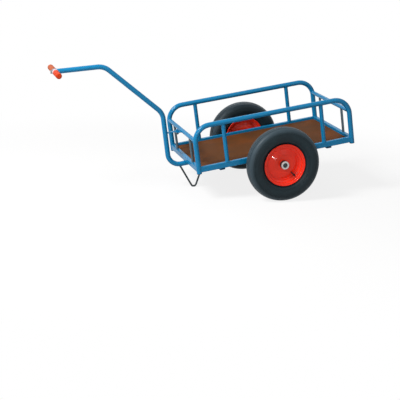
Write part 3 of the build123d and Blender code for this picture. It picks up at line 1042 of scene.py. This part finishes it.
def roundLoop(centre, first, second, radius, start=0.0, stop=2 * pi):
    count = max(beadShape["loopPoints"], round(radius * (stop - start) / beadShape["pitch"]))
    whole = stop - start == 2 * pi
    turns = [start + (stop - start) * i / (count if whole else count - 1) for i in range(count)]
    return [centre + first * (radius * cos(turn)) + second * (radius * sin(turn)) for turn in turns]


def runLine(start, stop):
    count = max(beadShape["linePoints"], round((stop - start).length / beadShape["pitch"]))
    return [start.lerp(stop, i / (count - 1)) for i in range(count)]


def squareLoop(centre, first, second, width, height):
    signs = ((1, 1), (-1, 1), (-1, -1), (1, -1))
    corners = [centre + first * (width / 2 * a) + second * (height / 2 * b) for a, b in signs]
    line = []
    for start, stop in zip(corners, corners[1:] + corners[:1]):
        line += runLine(start, stop)[:-1]
    return line


def seam(loop, way, target):                           # the loop carried on to what it is welded to
    line = []
    for spot in loop:
        start = spot - way * beadShape["castBack"]
        hit, place, _, _ = target.ray_cast(start, way, distance=2 * beadShape["castBack"])
        line.append(place if hit else target.closest_point_on_mesh(spot)[1])
    return line


def bead(line, closed=True):
    bpy.ops.object.select_all(action="DESELECT")
    bpy.ops.mesh.primitive_circle_add(vertices=len(line), radius=0.01)
    piece = bpy.context.object
    for vertex, spot in zip(piece.data.vertices, line):
        vertex.co = spot
    if not closed:
        last = {0, len(line) - 1}
        for item in list(piece.data.vertices) + list(piece.data.edges):
            item.select = False
        for edge in piece.data.edges:
            edge.select = set(edge.vertices) == last
        bpy.ops.object.mode_set(mode="EDIT")
        bpy.ops.mesh.select_mode(type="EDGE")
        bpy.ops.mesh.delete(type="EDGE")
        bpy.ops.mesh.select_mode(type="VERT")
        bpy.ops.object.mode_set(mode="OBJECT")
    bpy.ops.object.convert(target="CURVE")
    piece = bpy.context.object
    piece.data.bevel_depth = beadShape["radius"]
    piece.data.bevel_resolution = beadShape["sides"]
    piece.data.use_fill_caps = True
    for i, point in enumerate(piece.data.splines[0].points):
        point.radius = 1 + beadShape["ripple"] * sin(i * beadShape["wave"])
    bpy.ops.object.convert(target="MESH")
    return bpy.context.object


frameSize = {                                          # as measured along the bed
    "leg": (0.435, 0.273),                             # along and across
    "post": 0.275,
    "postRadius": 0.011,
    "railTop": 0.015,
    "rail": (0.02, 0.03),                              # width and height
    "upperRail": 0.158,
    "hoopTop": 0.23,
    "drawbar": -0.0286,
    "tubeRadius": 0.0135,                              # of hoops and drawbar
    "drawbarEnd": 0.319,
    "endOpen": 0.1,                                    # radians left open at each end of that bead
    "upright": 0.5291,
    "strut": (0.02, 0.005, 0.158),                     # width, height, level
    "lug": (0.042, 0.005, 0.153, 0.446),               # width, height, level, place along
    "foot": [(0.4097, -0.1893), (0.475, -0.0286), (0.328, -0.0286)],    # its lowest bend, then its two ends
    "footRadius": 0.005,
    "axle": (-0.006, -0.037, 0.0125),                  # along, level, radius
    "plate": (0.09, 0.008),                            # length and thickness
    "ringBack": 0.014,
    "frontBead": (0.01, 0.0055, -0.0162),              # half length, distance from the middle, level
}


def frameBeads(size):
    along, across, up = alongBed((1, 0, 0)), bedAcross, alongBed((0, 0, 1))
    legX, legY = size["leg"]
    tube, post = size["tubeRadius"], size["postRadius"]
    axleX, axleZ, axleRadius = size["axle"]
    lines = []
    for side, hand in ((1, "left"), (-1, "right")):
        hoop, rail = nodes["side_hoop_" + hand], nodes["side_rail_" + hand]
        out = across * side
        for end in (1, -1):
            spot = atRails(size["post"] * end, legY * side, size["railTop"])
            lines.append(seam(roundLoop(spot, along, across, post), -up, rail))
            spot = atRails(size["post"] * end, legY * side, size["hoopTop"] - tube)
            lines.append(seam(roundLoop(spot, along, across, post), up, hoop))
            spot = atRails(legX * end, (legY - tube) * side, size["upperRail"])
            lines.append(seam(roundLoop(spot, along, up, post), out, hoop))
            spot = atRails(legX * end, (legY - tube) * side, 0.0)
            lines.append(seam(squareLoop(spot, along, up, *size["rail"]), out, hoop))
            spot = atRails((legX - tube) * end, legY * side, 0.0)
            lines.append(seam(squareLoop(spot, across, up, *size["rail"]), along * end, hoop))
        spot = atRails(axleX, legY * side, -size["railTop"])
        lines.append(seam(squareLoop(spot, along, across, *size["plate"]), up, rail))
        for face in (1, -1):
            spot = atRails(axleX, legY * side + face * size["plate"][1] / 2, axleZ)
            lines.append(roundLoop(spot, along, up, axleRadius))
    width, height, level = size["strut"]
    spot = atRails(size["upright"] - tube, 0.0, level)
    lines.append(seam(squareLoop(spot, across, up, width, height), along, nodes["drawbar"]))
    width, height, level, x = size["lug"]
    spot = atRails(x, 0.0, level)
    lines.append(seam(squareLoop(spot, across, up, width, height), -along, nodes["end_rail_upper_front"]))
    corner, *tops = (atRails(x, 0.0, z) for x, z in size["foot"])
    for top in tops:
        way = (top - corner).normalized()
        loop = roundLoop(top - way * tube, across, way.cross(across), size["footRadius"])
        lines.append(seam(loop, way, nodes["drawbar"]))
    way = alongBed(handleWay)
    spot = handleCentre - way * size["ringBack"]
    lines.append(seam(roundLoop(spot, across, way.cross(across), tube), way, handleRing))
    pieces = [bead(line) for line in lines]

    spot = atRails(size["drawbarEnd"], 0.0, size["drawbar"])
    start, stop = size["endOpen"], pi - size["endOpen"]
    pieces.append(bead(roundLoop(spot, across, up, tube, start, stop), closed=False))
    half, shift, level = size["frontBead"]
    for side in (1, -1):                               # along the drawbar, under the front rail
        ends = [atRails(legX + reach, shift * side, level) for reach in (-half, half)]
        pieces.append(bead(runLine(*ends), closed=False))
    return joinAll(pieces, "weldsFrame")


dress(frameBeads(frameSize), "frame", "blue_paint", angle=60)

wheelBeads = [(0.0222, 0.0124), (0.0863, 0.0044)]      # radius, distance from the wheel's middle


def makeWheelBeads(rows):
    pieces = []
    for radius, shift in rows:
        for side in (1, -1):
            centre = wheelCentre + axleWay * (shift * side)
            pieces.append(bead(roundLoop(centre, Vector((1, 0, 0)), upWay, radius)))
    return joinAll(pieces, "weldsLeft")


welds = makeWheelBeads(wheelBeads)
weldsTwin = mirrored(welds, "weldsRight")
dress(welds, "wheel_left", "red_paint", angle=60)
dress(weldsTwin, "wheel_right", "red_paint", angle=60)
print("weld beads made")
